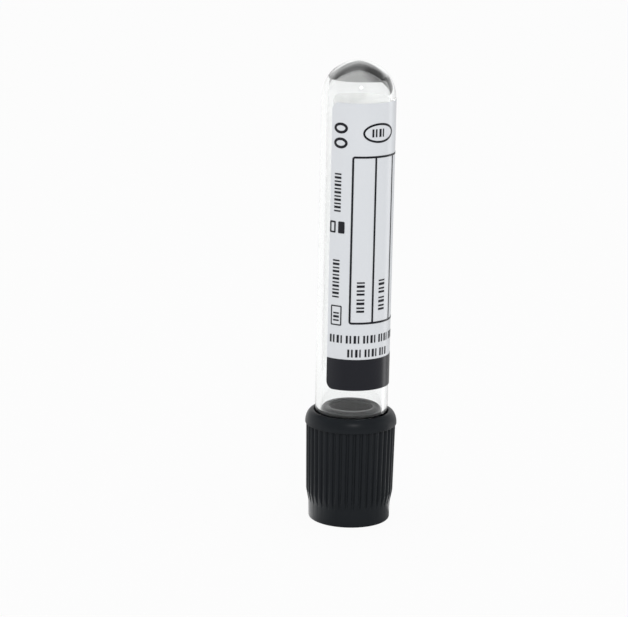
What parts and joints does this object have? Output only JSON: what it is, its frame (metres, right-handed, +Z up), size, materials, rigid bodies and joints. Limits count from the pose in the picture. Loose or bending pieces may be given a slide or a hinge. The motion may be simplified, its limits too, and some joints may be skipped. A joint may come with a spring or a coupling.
{
  "type": "blood collection tube",
  "caption": "Round-bottomed glass blood collection tube with a wrap-round paper label, standing upside down on its ribbed black push-on cap over a rubber stopper.",
  "frame": {"origin": "centre of the cap's end face, which the part stands on", "axes": "+Z up the tube's axis to its round bottom; -Y is the side that the left part of the label with the printed form faces"},
  "size_m": [0.0164, 0.0164, 0.083],
  "materials": {
    "cap_plastic": "satin moulded",
    "stopper_rubber": "moulded butyl rubber",
    "tube_glass": "clear, fire-polished",
    "label_paper": "coated, semi-gloss",
    "print_ink": "printed ink on coated paper"
  },
  "bodies": {
    "closure": {"cap": "cap_plastic", "stopper": "stopper_rubber"},
    "labelled_tube": {"tube": "tube_glass", "label": "label_paper", "label_print": "print_ink"}
  },
  "joints": [
    {"name": "closure_pull", "type": "slide", "parent": "closure", "child": "labelled_tube", "axis": [0, 0, 1], "range_m": [0, 0.025]}
  ]
}
